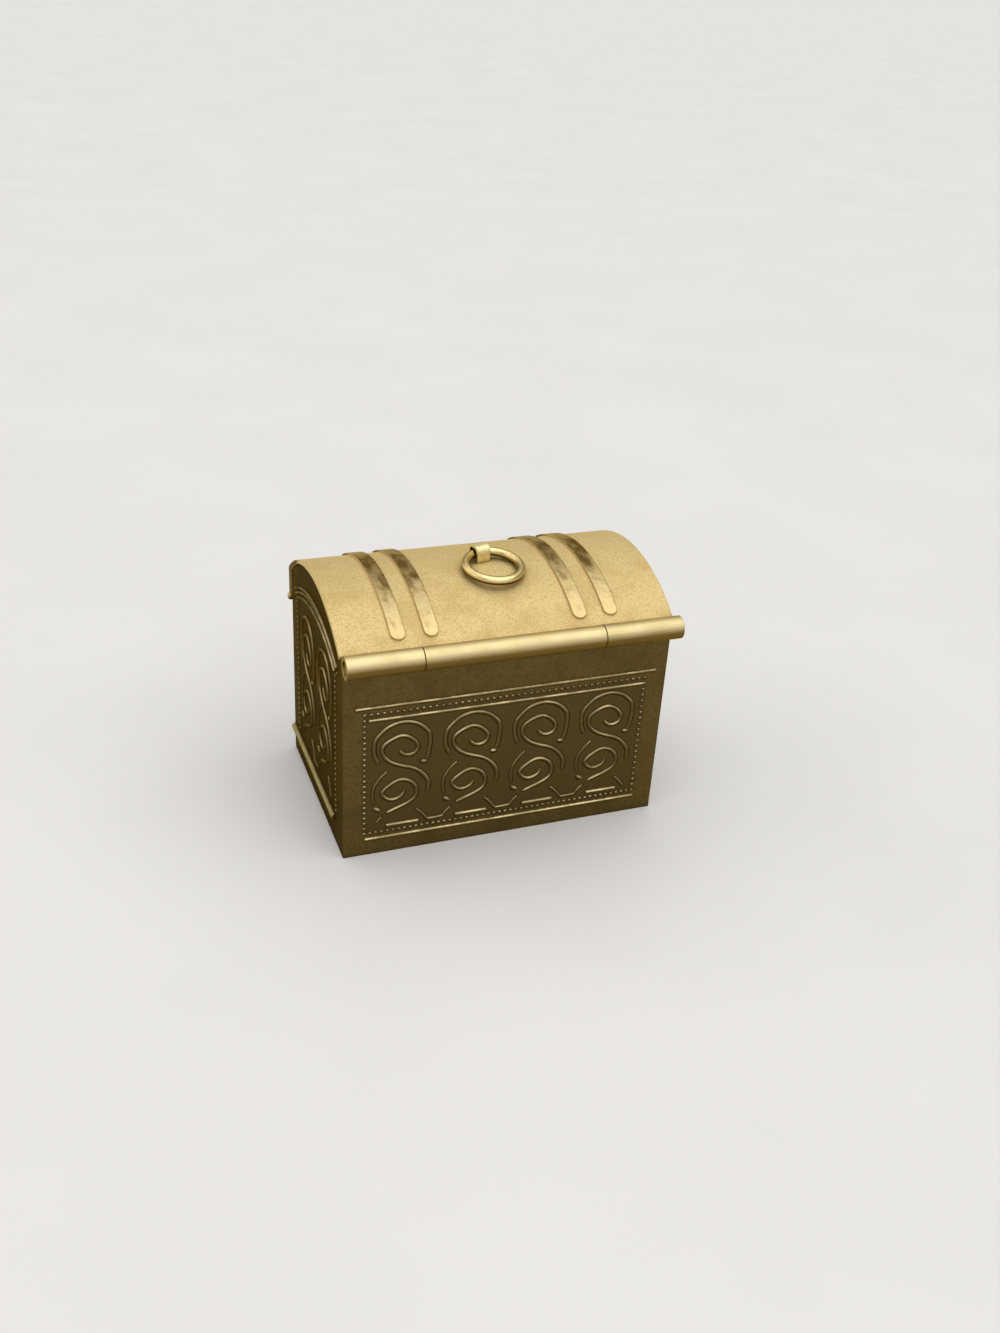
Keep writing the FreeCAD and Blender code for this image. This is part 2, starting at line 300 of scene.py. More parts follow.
@dataclass(frozen=True)
class Brass:
    """One way that the sheet, tube or wire of the box is finished. All of it is lacquered brass.

    Attributes:
        mottle: colour of its slightly darker patches.
        grain_mm, grain_depth_mm: width and depth of one grain of the surface.
        pit_shade: painted shade in the pits of the grain.
        stretch: how far the grain is drawn out along x, y and z.
        mottle_mm: width of one darker patch.
        grime_and_shade: colour of the tarnish and painted shade in corners that a cloth doesn't reach.
        edge_mm: radius that the edges are worn to.
        glance: tint of the metal seen edge on, where its lacquer and tarnish dull it.
        cut_end: colour of the sawn or sheared ends that face along the box.
        far_cut_end: a darker colour of those ends on the opening side.
    """

    # Where each layer begins and is full: a value of the noise, the height of the grain, how squarely
    # a face looks along the box, and the place across the box
    MOTTLED = (0.42, 0.68)
    PROUD = (0.3, 0.7)
    PITTED = (0.5, 0.0)
    END_ON = (0.9, 0.97)
    FAR_END_MM = (12.0, 17.0)
    # How ragged the darker patches are, and how much rougher they and the cut ends are than the rest
    MOTTLE_DETAIL = 4.0
    MOTTLE_ROUGHER = 0.05
    CUT_END_ROUGHER = 0.2

    name: str
    colour: str
    mottle: str
    roughness: float
    grain_mm: float
    grain_depth_mm: float
    pit_shade: str
    stretch: tuple[float, float, float] = (1.0, 1.0, 1.0)
    mottle_mm: float = 7.0
    grime_and_shade: str = "#3a2c14"
    edge_mm: float = 0.12
    glance: str = "#d9c690"
    cut_end: str | None = None
    far_cut_end: str | None = None

    def build(self) -> bpy.types.Material:
        """Makes the material.

        Returns:
            The material, its colour, roughness and bump drawn by nodes.
        """
        material = bpy.data.materials.new(self.name)
        surface = Surface(material, self.colour, self.roughness)
        mottled = surface.patches(self.mottle_mm, self.MOTTLED, self.MOTTLE_DETAIL)
        surface.layer(mottled, self.mottle, self.roughness + self.MOTTLE_ROUGHER)
        proud = surface.patches(self.grain_mm, self.PROUD, stretch=self.stretch)
        # Painted shade in the low pits of the grain's bump
        surface.layer_between(proud, self.PITTED, self.pit_shade)
        surface.height = add(surface.tree, "ShaderNodeMath", {0: proud, 1: self.grain_depth_mm},
                             operation="MULTIPLY")
        self.work(surface)
        if self.cut_end:
            self.colour_cut_ends(surface)
        surface.finish(self.grime_and_shade, self.edge_mm, self.glance)
        return material

    def colour_cut_ends(self, surface: Surface) -> None:
        """Lays the colour of the cut ends, and a darker one on the opening side where there is one.

        Args:
            surface: the finish in the making.
        """
        tree = surface.tree
        along = add(tree, "ShaderNodeMath", {0: surface.faces_along}, operation="ABSOLUTE")
        cut = surface.layer_between(along, self.END_ON, self.cut_end, self.roughness + self.CUT_END_ROUGHER)
        if self.far_cut_end:
            start, full = self.FAR_END_MM
            far = add(tree, "ShaderNodeMapRange",
                      {"Value": surface.across, "From Min": start * MM, "From Max": full * MM},
                      interpolation_type=SMOOTH)
            far = add(tree, "ShaderNodeMath", {0: far, 1: cut}, operation="MULTIPLY")
            surface.layer(far, self.far_cut_end)

    def work(self, surface: Surface) -> None:
        """Adds what was worked into the metal. Plain stock has nothing."""


@dataclass(frozen=True)
class SandblastedSheet(Brass):
    """Blasted sheet with straps stamped up from it and rubbed smooth.

    Attributes:
        strap, strap_roughness: colour and roughness of the straps.
        strap_mm: heights over which the blasted sheet gives way to a strap.
        dent_mm, dent_depth_mm: width and depth of the shallow dents in the straps.
        stain: colour of the tarnish that clouds the straps over the crown of the lid.
        stain_mm: width of one cloud.
        stain_reach_mm: how far from the crown the clouds thin out and stop.
        inside: colour of the sheet's inner face, which was blasted but never rubbed.
    """

    # A cloud's noise, the sum of that and its nearness to the crown, and the noise of a dent
    CLOUDY = (0.25, 0.75)
    STAINED = (0.6, 1.75)
    DENTED = (0.2, 0.8)
    CLOUD_DETAIL = 3.0
    CLOUD_STRETCH = (1.0, 2.0, 2.0)

    strap: str = "#cab27c"
    strap_roughness: float = 0.36
    strap_mm: Range = (0.2, 0.38)
    dent_mm: float = 1.5
    dent_depth_mm: float = 0.05
    stain: str = "#775e32"
    stain_mm: float = 2.2
    stain_reach_mm: Range = (1.0, 15.5)
    inside: str = "#b59a5c"

    def work(self, surface: Surface) -> None:
        """Adds the inner face and the straps with their dents and clouds of tarnish.

        Args:
            surface: the finish in the making.
        """
        tree = surface.tree
        over = surface.over_ground(Ground.LID)
        surface.layer_between(over, SIZES.inner_face, self.inside)
        raised = surface.layer_between(over, self.strap_mm, self.strap, self.strap_roughness)
        off_crown = add(tree, "ShaderNodeMath", {0: surface.across}, operation="ABSOLUTE")
        near, far = self.stain_reach_mm
        crown = add(tree, "ShaderNodeMapRange",
                    {"Value": off_crown, "From Min": far * MM, "From Max": near * MM},
                    interpolation_type=SMOOTH)
        clouds = surface.patches(self.stain_mm, self.CLOUDY, self.CLOUD_DETAIL, self.CLOUD_STRETCH)
        clouds = add(tree, "ShaderNodeMath", {0: clouds, 1: crown}, operation="ADD")
        start, full = self.STAINED
        clouds = add(tree, "ShaderNodeMapRange", {"Value": clouds, "From Min": start, "From Max": full},
                     interpolation_type=SMOOTH)
        clouds = add(tree, "ShaderNodeMath", {0: clouds, 1: raised}, operation="MULTIPLY")
        surface.layer(clouds, self.stain, self.roughness)
        dents = surface.patches(self.dent_mm, self.DENTED)
        dents = add(tree, "ShaderNodeMath", {0: dents, 1: self.dent_depth_mm}, operation="MULTIPLY")
        surface.height = add(tree, "ShaderNodeMix", {0: raised, 2: surface.height, 3: dents},
                             data_type="FLOAT")


@dataclass(frozen=True)
class EmbossedSheet(Brass):
    """Stamped sheet, darkened all over, with painted highlights on the upper slopes of whatever stands
    proud and painted shade on its lower slopes.

    Attributes:
        field: colour inside the embossed frames, where the sheet is smooth.
        raised: colour on the sides of raised work.
        upper_slope_highlight: painted highlight on the upper slopes of raised work.
        lower_slope_shade: painted shade on its lower slopes.
        end_slope_light: how much of those painted highlights and shade the two ends get.
        least_slope_light: how much of them the weakest patches get.
        slope_light_patch_mm: width of one such patch.
        raised_roughness: roughness of raised work.
        raised_mm: heights over which the ground gives way to raised work.
        inside: colour of the sheet's inner face.
    """

    # How much of the grain the field keeps, the noise of a patch of painted slope light, how far a slope
    # looks up or down where it starts to count as one and where it is full, and how close to an end is on
    # it
    FIELD_GRAIN = 0.3
    SLOPE_LIGHT_PATCHES = (0.35, 0.65)
    SLOPES = (0.08, 0.5)
    ON_END_MM = 0.03
    # How far the field's edge runs out past the beads, at a wall's sides, at its top and foot, and
    # at an end's sides, and the depths inside an end's face where the field begins and is full
    SIDE_MARGIN_MM = 0.5
    LEVEL_MARGIN_MM = 0.3
    END_MARGIN_MM = 0.6
    END_SKIN_MM = (0.2, 0.1)

    field: str = "#58492a"
    raised: str = "#62522e"
    upper_slope_highlight: str = "#d2be8c"
    lower_slope_shade: str = "#5a4a28"
    end_slope_light: float = 0.75
    least_slope_light: float = 0.4
    slope_light_patch_mm: float = 3.5
    raised_roughness: float = 0.28
    raised_mm: Range = (0.03, 0.26)
    inside: str = "#a08447"

    def work(self, surface: Surface) -> None:
        """Adds the smooth field, the inner face and the raised work with its painted highlights and shade.

        Args:
            surface: the finish in the making.
        """
        tree = surface.tree
        field = self.field_share(surface)
        surface.layer(field, self.field)
        kept = add(tree, "ShaderNodeMapRange", {"Value": field, "To Min": 1.0, "To Max": self.FIELD_GRAIN})
        surface.height = add(tree, "ShaderNodeMath", {0: surface.height, 1: kept}, operation="MULTIPLY")
        over = surface.over_ground(Ground.WALLS)
        surface.layer_between(over, SIZES.inner_face, self.inside)
        raised = surface.layer_between(over, self.raised_mm, self.raised, self.raised_roughness)
        along = add(tree, "ShaderNodeMath", {0: surface.along}, operation="ABSOLUTE")
        end = SIZES.half_length
        slope_light_share = add(tree, "ShaderNodeMapRange",
                      {"Value": along, "From Min": (end - self.ON_END_MM) * MM, "From Max": end * MM,
                       "To Min": 1.0, "To Max": self.end_slope_light})
        uneven = add(tree, "ShaderNodeMapRange",
                     {"Value": surface.patches(self.slope_light_patch_mm, self.SLOPE_LIGHT_PATCHES), "To Min": self.least_slope_light})
        for share in (raised, uneven):
            slope_light_share = add(tree, "ShaderNodeMath", {0: slope_light_share, 1: share}, operation="MULTIPLY")
        # Painted highlight on the upper slopes of the raised work, painted shade on its lower slopes
        for upward, colour in ((1, self.upper_slope_highlight), (-1, self.lower_slope_shade)):
            level, steep = (upward * slope for slope in self.SLOPES)
            side = add(tree, "ShaderNodeMapRange",
                       {"Value": surface.faces_up, "From Min": level, "From Max": steep},
                       interpolation_type=SMOOTH)
            side = add(tree, "ShaderNodeMath", {0: side, 1: slope_light_share}, operation="MULTIPLY")
            surface.layer(side, colour)

    def field_share(self, surface: Surface) -> Socket:
        """Tells the smooth field inside the embossed frames from the border.

        Args:
            surface: the finish in the making.

        Returns:
            How far each point lies in the field, from 0 on the border to 1.
        """
        tree = surface.tree
        along, across = (add(tree, "ShaderNodeMath", {0: axis}, operation="ABSOLUTE")
                         for axis in (surface.along, surface.across))
        on_walls = ((along, FRAME.left_reach + self.SIDE_MARGIN_MM, FRAME.left_reach),
                    (surface.up, FRAME.bottom - self.LEVEL_MARGIN_MM, FRAME.bottom),
                    (surface.up, FRAME.top + self.LEVEL_MARGIN_MM, FRAME.top))
        on_ends = ((across, FRAME.end_reach + self.END_MARGIN_MM, FRAME.end_reach),
                   (along, *(SIZES.half_length - depth for depth in self.END_SKIN_MM)))
        shares = []
        for limits in (on_walls, on_ends):
            share: Socket | float = 1.0
            for value, outside, inside in limits:
                edge = add(tree, "ShaderNodeMapRange",
                           {"Value": value, "From Min": outside * MM, "From Max": inside * MM},
                           interpolation_type=SMOOTH)
                share = add(tree, "ShaderNodeMath", {0: share, 1: edge}, operation="MULTIPLY")
            shares.append(share)
        return add(tree, "ShaderNodeMath", {0: shares[0], 1: shares[1]}, operation="MAXIMUM")


@dataclass(frozen=True)
class PolishedStock(Brass):
    """Tube, rod or moulding, polished, with painted shade on what faces down, which is also left rougher.

    Attributes:
        underside_shade: painted shade on what faces down, which is also rougher.
        underside_shade_facing: how far a face looks up, from -1 to 1, where that painted shade begins and
            is full.
    """

    UNDERSIDE_ROUGHER = 0.15

    underside_shade: str = "#7a6430"
    underside_shade_facing: Range = (0.55, -0.1)

    def work(self, surface: Surface) -> None:
        """Adds the painted shade on the underside, which is also rougher.

        Args:
            surface: the finish in the making.
        """
        # Painted shade: what faces down is darker, and rougher
        surface.layer_between(surface.faces_up, self.underside_shade_facing, self.underside_shade,
                              self.roughness + self.UNDERSIDE_ROUGHER)


# Sheet brass blasted with fine grit and lacquered: a bright, even satin with a fine sparkle. The grit's
# marks are about 0.1 mm, drawn over three times as wide to show. Its straps are rubbed smooth and mirror
# the room, dim along the crown and bright lower down, under clouds of brown tarnish. Its rim is bare
# metal up to the top of the vault and darker beyond.
SANDBLASTED = SandblastedSheet(
    name="sandblasted_brass_sheet", colour="#e4cf96", mottle="#dec68b", roughness=0.7,
    grain_mm=0.34, grain_depth_mm=0.04, pit_shade="#d0b67b", grime_and_shade="#c2a766", edge_mm=0.3, cut_end="#e2cc96",
    far_cut_end="#7d6844")

# Stamped sheet, darkened: olive brown in the ground, with painted highlights on the upper slopes of
# whatever stands proud and painted shade on the lower ones. The ground's tooth is about 0.1 mm, drawn four
# times as wide to show.
EMBOSSED = EmbossedSheet(
    name="antiqued_embossed_brass_sheet", colour="#66552e", mottle="#5c4d29", roughness=0.42,
    grain_mm=0.42, grain_depth_mm=0.035, pit_shade="#58492a", grime_and_shade="#4a3c20", edge_mm=0.35, glance="#a29d88")

# Drawn tube, polished and lacquered: long soft highlights, with draw lines along its length that are
# shallow enough only to soften them. The lines are about 0.05 mm wide, drawn six times as wide to show.
# Its lower side is darkened as painted shade.
DRAWN = PolishedStock(
    name="polished_drawn_brass_tube", colour="#d6c291", mottle="#ccb985", roughness=0.4,
    grain_mm=0.3, grain_depth_mm=0.006, pit_shade="#dac485", stretch=(30.0, 1.0, 1.0), cut_end="#9c8858")

# The same brass in half-round strip along the foot, dulled where the box is picked up. Its scuffs are
# about 0.1 mm wide, drawn three times as wide to show.
# Its lower half is darkened as painted shade.
WORN = PolishedStock(
    name="worn_brass_moulding", colour="#b7a877", mottle="#a5966a", roughness=0.4, mottle_mm=4.0,
    grain_mm=0.3, grain_depth_mm=0.01, pit_shade="#a59563")

# Bent wire, polished on a wheel: bright as a mirror, with painted shade in brown underneath. The wheel
# leaves waves of about 0.5 mm, so shallow that they only break up the reflections a little.
BUFFED = PolishedStock(
    name="buffed_brass_wire", colour="#ead59c", mottle="#dec484", roughness=0.2,
    grain_mm=0.5, grain_depth_mm=0.006, pit_shade="#dcc07a", underside_shade="#5e4518",
    underside_shade_facing=(0.25, -0.45))

# Strip bent hot over the wire and only brushed after: paler and softer than the ring, with painted shade in
# brown where its legs lie under the lid. The brush marks are about 0.1 mm, drawn five times as wide to
# show.
BRUSHED = PolishedStock(
    name="brushed_brass_strip", colour="#f6e7b4", mottle="#eddb9e", roughness=0.45,
    grain_mm=0.5, grain_depth_mm=0.015, pit_shade="#e6d294", underside_shade="#a1874e",
    underside_shade_facing=(-0.5, -0.8))


# Relief

SAMPLES_PER_KNOT = 12
FEWEST_STEPS = 3


@dataclass(frozen=True)
class FaceOfBox:
    """A flat outer face that carries relief, and the directions on it.

    Attributes:
        name: how the face is called in the names of its pieces.
        origin: the middle of its foot, in millimetres.
        across: the direction to the right, seen from outside.
        outward: the direction away from the box.
    """

    name: str
    origin: Vector
    across: Vector
    outward: Vector

    def place(self, right: float, up: float, proud: float) -> Vector:
        """A point on the face, in metres, from its place in millimetres."""
        return (self.origin + self.across * right + self.outward * proud + Vector((0, 0, up))) * MM


@dataclass(frozen=True)
class Arc:
    """A round row on a face.

    Attributes:
        centre: its centre, in millimetres.
        start, end: angles in degrees, anticlockwise from the right.
        radius: its radius, in millimetres.
    """

    centre: Point
    start: float
    end: float
    radius: float

    def points(self, pitch: float) -> list[Point]:
        """Sets points along the arc.

        Args:
            pitch: about how far apart they are, in millimetres.

        Returns:
            The points, from the arc's start to its end.
        """
        sweep = self.end - self.start
        count = round(math.radians(sweep) * self.radius / pitch)
        turns = (math.radians(self.start + sweep * place / count) for place in range(count + 1))
        right, up = self.centre
        return [(right + self.radius * math.cos(turn), up + self.radius * math.sin(turn)) for turn in turns]


def running_lengths(path: Sequence[Vector]) -> list[float]:
    """The length of a path up to each of its points."""
    return [0.0, *accumulate((end - start).length for start, end in zip(path, path[1:]))]


def smooth_path(knots: Sequence[Point], spacing: float) -> list[Point]:
    """A smooth curve through the knots, in even steps.

    Args:
        knots: the points that the curve goes through.
        spacing: the length of a step.

    Returns:
        The points of the curve, with the first and last knot at its ends.
    """
    dense = [Vector(knots[0])]
    ends = [Vector(k) for k in (knots[0], *knots, knots[-1])]
    for before, start, end, after in zip(ends, ends[1:], ends[2:], ends[3:]):
        slope = end - before
        bend = 2 * before - 5 * start + 4 * end - after
        twist = 3 * start - before - 3 * end + after
        for place in range(1, SAMPLES_PER_KNOT + 1):
            t = place / SAMPLES_PER_KNOT
            dense.append(0.5 * (2 * start + slope * t + bend * t ** 2 + twist * t ** 3))
    lengths = running_lengths(dense)
    count = max(FEWEST_STEPS, round(lengths[-1] / spacing))
    path: list[Point] = []
    here = 0
    for place in range(count + 1):
        target = lengths[-1] * place / count
        while here < len(dense) - 2 and lengths[here + 1] < target:
            here += 1
        run = lengths[here + 1] - lengths[here]
        share = (target - lengths[here]) / run if run else 0.0
        spot = dense[here].lerp(dense[here + 1], share)
        path.append((spot.x, spot.y))
    return path


def round_the_ring(items: Iterable) -> list[tuple]:
    """Pairs each item with the next one, and the last with the first."""
    ring = list(items)
    return list(zip(ring, ring[1:] + ring[:1]))


class Relief:
    """Raised lines and beads on one face, gathered into one mesh."""

    # How far its foot is sunk under the face, in millimetres, so that no gap shows
    SUNK = 0.04
    STEPS_ACROSS = 8
    BEAD_SIDES = 14
    BEAD_RINGS = 4
    SHARP_FROM_DEG = 70

    def __init__(self, face: FaceOfBox) -> None:
        """Starts an empty relief.

        Args:
            face: the face that it stands on.
        """
        self.face = face
        self.corners: list[Vector] = []
        self.faces: list[tuple[int, ...]] = []

    def line(self, path: Sequence[Point], width: float, height: float, taper: float = 1.2) -> None:
        """Adds a line of bell-shaped section that runs out to nothing at both ends.

        Args:
            path: the middle of the line, in millimetres on the face.
            width: its full width.
            height: its height over the ground.
            taper: the length over which each end runs out.
        """
        middle = [Vector(p) for p in path]
        lengths = running_lengths(middle)
        rings = []
        for place, spot in enumerate(middle):
            ahead = middle[min(place + 1, len(middle) - 1)] - middle[max(place - 1, 0)]
            side = Vector((-ahead.y, ahead.x)).normalized()
            near = min(lengths[place], lengths[-1] - lengths[place])
            swell = math.sqrt(max(0.0, 1 - (1 - min(1.0, near / taper)) ** 2))
            if swell == 0.0:
                rings.append([self._corner(spot.x, spot.y, -self.SUNK)])
                continue
            ring = []
            for step in range(self.STEPS_ACROSS + 1):
                share = 2 * step / self.STEPS_ACROSS - 1
                reach = spot + side * (share * swell * width / 2)
                bell = math.cos(share * math.pi / 2) ** 2
                ring.append(self._corner(reach.x, reach.y, bell * height * swell - self.SUNK * (1 - bell)))
            rings.append(ring)
        for near_ring, far_ring in zip(rings, rings[1:]):
            self._join(near_ring, far_ring)

    def bead(self, centre: Point) -> None:
        """Adds a round bead.

        Args:
            centre: its middle, in millimetres on the face.
        """
        right, up = centre
        rings = []
        for ring in range(self.BEAD_RINGS):
            turn = math.pi / 2 * ring / self.BEAD_RINGS
            radius = math.cos(turn) * FRAME.bead_width / 2
            rise = math.sin(turn) * FRAME.bead_height - self.SUNK * math.cos(turn)
            rings.append([
                self._corner(right + radius * math.cos(math.tau * side / self.BEAD_SIDES),
                             up + radius * math.sin(math.tau * side / self.BEAD_SIDES), rise)
                for side in range(self.BEAD_SIDES)])
        top = self._corner(right, up, FRAME.bead_height)
        self.faces.append(tuple(reversed(rings[0])))
        for low, high in zip(rings, rings[1:]):
            for (start, over_start), (end, over_end) in round_the_ring(zip(low, high)):
                self.faces.append((start, end, over_end, over_start))
        self.faces.extend((start, end, top) for start, end in round_the_ring(rings[-1]))

    def bead_row(self, start: Point, end: Point, pitch: float) -> None:
        """Adds evenly spaced beads.

        Args:
            start, end: the middles of the first and the last bead, in millimetres on the face.
            pitch: about how far apart they stand.
        """
        first, last = Vector(start), Vector(end)
        count = max(1, round((last - first).length / pitch))
        for place in range(count + 1):
            spot = first.lerp(last, place / count)
            self.bead((spot.x, spot.y))

    def build(self, name: str, finish: bpy.types.Material, body: str = "box",
              slot: str = "embossed_brass") -> None:
        """Makes the mesh object and sets it on its body.

        Args:
            name: the piece's name.
            finish: its material.
            body: the body that it rides on.
            slot: the material slot that the finish belongs to; it is not used.
        """
        mesh = bpy.data.meshes.new(name)
        mesh.from_pydata(self.corners, [], self.faces)
        mesh.validate()
        mesh.polygons.foreach_set("use_smooth", [True] * len(mesh.polygons))
        mesh.set_sharp_from_angle(angle=math.radians(self.SHARP_FROM_DEG))
        mesh.materials.append(finish)
        piece = put_in_scene(name, mesh)
        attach(piece, body)
        log.info("%s: %d faces on %s", name, len(mesh.polygons), body)

    def _corner(self, right: float, up: float, proud: float) -> int:
        """Adds a point and gives its number."""
        self.corners.append(self.face.place(right, up, proud))
        return len(self.corners) - 1

    def _join(self, near: list[int], far: list[int]) -> None:
        """Joins two neighbouring sections of a line, underside and all.

        Args:
            near, far: the numbers of their points, or of the one point where the line ends.
        """
        if len(near) == 1:
            self.faces.extend((start, near[0], end) for start, end in round_the_ring(far))
        elif len(far) == 1:
            self.faces.extend((end, far[0], start) for start, end in round_the_ring(near))
        else:
            for (start, far_start), (end, far_end) in round_the_ring(zip(near, far)):
                self.faces.append((start, far_start, far_end, end))


# Embossed work

@dataclass(frozen=True)
class Scroll:
    """The S-shaped scroll of the embossing, drawn about the middle of its upper curl.

    Sizes are millimetres on a long wall. The points of its strokes were chosen.

    Attributes:
        line_width, line_height: section of the main strokes.
        fine_width, fine_height: section of the hook and the links.
        bulb_width, bulb_height: section of the drops at the tips of the hood and the hook.
        step: the length of a step along a stroke.
        stretch: how far the motif is drawn out upwards.
        hood: the arch over the upper curl.
        hook: the stroke down the left of the lower curl.
        link_down, link_up: the two halves of the link to the next motif.
        link_end: the end of a link that comes in from the left.
    """

    line_width: float = 1.35
    line_height: float = 0.34
    fine_width: float = 1.15
    fine_height: float = 0.26
    bulb_width: float = 1.75
    bulb_height: float = 0.38
    step: float = 0.3
    stretch: float = 1.0
    hood: tuple[Point, ...] = (
        (-5.0, -4.15), (-5.6, -2.75), (-6.0, -1.35), (-6.1, 0.3), (-5.9, 1.6), (-5.25, 2.75), (-3.12, 4.64),
        (-0.12, 5.4), (2.88, 4.64), (5.0, 2.7), (5.6, 1.2), (5.65, -0.3), (5.5, -1.75), (5.35, -2.95),
        (5.05, -3.9), (4.6, -4.4))
    curl_and_waist: tuple[Point, ...] = (
        (-0.88, -0.87), (-0.58, -1.55), (0.13, -2.25), (1.13, -2.55), (2.0, -2.37), (2.75, -1.87),
        (3.12, -0.8), (2.68, 0.25), (1.8, 1.25), (0.75, 1.93), (-0.5, 2.2), (-1.75, 1.88), (-2.88, 1.35),
        (-3.8, 0.7), (-4.3, -0.1), (-4.35, -1.1), (-4.0, -2.2), (-3.3, -3.1), (-2.38, -3.87), (-1.25, -4.5),
        (0.0, -5.05), (1.25, -5.5), (2.25, -5.95), (3.25, -6.62), (4.13, -7.5), (4.88, -8.5),
        (5.43, -9.62), (5.6, -10.75), (5.3, -12.45))
    foot_and_curl: tuple[Point, ...] = (
        (-3.63, -16.17), (-2.75, -15.8), (-1.5, -15.32), (-0.25, -14.87), (1.0, -14.32), (2.0, -13.75),
        (2.7, -13.05), (3.0, -12.15), (3.0, -11.25), (2.63, -10.25), (2.0, -9.37), (1.25, -8.8),
        (0.25, -8.42), (-0.75, -8.37), (-1.75, -8.7), (-2.75, -9.3), (-3.75, -10.05), (-4.35, -11.0),
        (-4.0, -11.87), (-3.25, -12.57), (-2.25, -12.95), (-1.13, -12.75), (-0.25, -12.25),
        (0.25, -11.5), (0.13, -10.87))
    hook: tuple[Point, ...] = (
        (-3.1, -5.65), (-3.75, -6.25), (-4.6, -7.05), (-5.3, -7.95), (-5.9, -8.95), (-6.2, -9.85),
        (-6.35, -11.25), (-6.2, -12.65), (-5.95, -13.8))
    hood_bulb: tuple[Point, ...] = ((3.5, -4.35), (4.1, -4.6), (4.75, -4.6), (5.3, -4.2))
    hook_bulb: tuple[Point, ...] = ((-6.1, -14.1), (-5.7, -14.7), (-5.1, -15.1), (-4.5, -15.4))
    link_down: tuple[Point, ...] = (
        (2.63, -15.87), (3.5, -16.62), (4.5, -17.75), (5.25, -18.75), (5.75, -19.12))
    link_up: tuple[Point, ...] = ((-6.38, -19.0), (-5.75, -18.25), (-5.0, -17.5), (-4.25, -16.75))
    link_end: tuple[Point, ...] = ((-6.0, -18.7), (-5.0, -17.5), (-4.1, -16.6))

    def draw(self, relief: Relief, middle: Point, link_before: bool, link_after: bool,
             pitch: float) -> None:
        """Adds one motif to a relief.

        Args:
            relief: the relief that gets it.
            middle: the middle of the upper curl, in millimetres on the face.
            link_before: whether the end of a link from the left is drawn.
            link_after: whether the link runs on to the motif at the right.
            pitch: the distance to the next motif.
        """
        lines = [(self.curl_and_waist, self.line_width, self.line_height),
                 (self.foot_and_curl, self.line_width, self.line_height),
                 (self.hood, self.line_width, self.line_height),
                 (self.hook, self.fine_width, self.fine_height),
                 (self.hood_bulb, self.bulb_width, self.bulb_height),
                 (self.hook_bulb, self.bulb_width, self.bulb_height)]
        link = self.link_down
        if link_after:
            link = (*link, *((right + pitch, up) for right, up in self.link_up))
        lines.append((link, self.fine_width, self.fine_height))
        if link_before:
            lines.append((self.link_end, self.fine_width, self.fine_height))
        for knots, width, height in lines:
            on_face = [(middle[0] + right, middle[1] + up * self.stretch) for right, up in knots]
            relief.line(smooth_path(on_face, self.step), width, height)


@dataclass
class FaceRelief:
    """The embossed work of one face: a row of scrolls, and beads round them.

    Attributes:
        face: the face that carries it.
        scroll: the motif.
        scroll_count: how many stand in the row.
        scroll_height: height of the middle of their upper curls over the foot, in millimetres.
        scroll_pitch: distance from one scroll to the next.
    """

    face: FaceOfBox
    scroll: Scroll
    scroll_count: int
    scroll_height: float
    scroll_pitch: float = 15.0

    def build(self, finish: bpy.types.Material) -> None:
        """Makes the scrolls, each as its own piece, and all the beads as one.

        Args:
            finish: the material of the embossed sheet.
        """
        last = self.scroll_count - 1
        for place in range(self.scroll_count):
            relief = Relief(self.face)
            middle = ((place - last / 2) * self.scroll_pitch, self.scroll_height)
            self.scroll.draw(relief, middle, place == 0, place < last, self.scroll_pitch)
            relief.build(f"{self.face.name}_scroll_{place + 1}", finish)
        beads = Relief(self.face)
        self.lay_beads(beads)
        beads.build(f"{self.face.name}_beads", finish)

    def lay_beads(self, beads: Relief) -> None:
        """Lays the beads. Each kind of face has its own rows."""
        raise NotImplementedError


@dataclass
class LongWallRelief(FaceRelief):
    """The embossed work of one long wall: a beaded frame round four scrolls in a row."""

    scroll: Scroll = Scroll()
    scroll_count: int = 4
    scroll_height: float = 25.85

    def lay_beads(self, beads: Relief) -> None:
        """Lays the four rows of the frame.

        Args:
            beads: the relief that gets them.
        """
        left, right = -FRAME.left_reach, FRAME.right_reach
        for side, pitch in ((left, FRAME.left_pitch), (right, FRAME.right_pitch)):
            beads.bead_row((side, FRAME.bottom), (side, FRAME.top), pitch)
        for up, pitch in ((FRAME.top, FRAME.top_pitch), (FRAME.bottom, FRAME.bottom_pitch)):
            beads.bead_row((left + pitch, up), (right - pitch, up), pitch)


@dataclass
class EndRelief(FaceRelief):
    """The embossed work of one end: two tall scrolls between columns of beads, under the arches.

    Attributes:
        column_foot, column_top: heights of the first and the last bead of a column.
        arch: the row of beads between the arches.
    """

    scroll: Scroll = Scroll(stretch=1.3)
    scroll_count: int = 2
    scroll_height: float = 33.6
    column_foot: float = 8.3
    column_top: float = 40.5
    arch: Arc = Arc((0.0, 9.3), 60.5, 119.5, 37.25)

    def lay_beads(self, beads: Relief) -> None:
        """Lays the two columns and the row between the arches.

        Args:
            beads: the relief that gets them.
        """
        for right in (-FRAME.end_reach, FRAME.end_reach):
            beads.bead_row((right, self.column_foot), (right, self.column_top), FRAME.left_pitch)
        for spot in self.arch.points(FRAME.left_pitch):
            beads.bead(spot)


# Studio

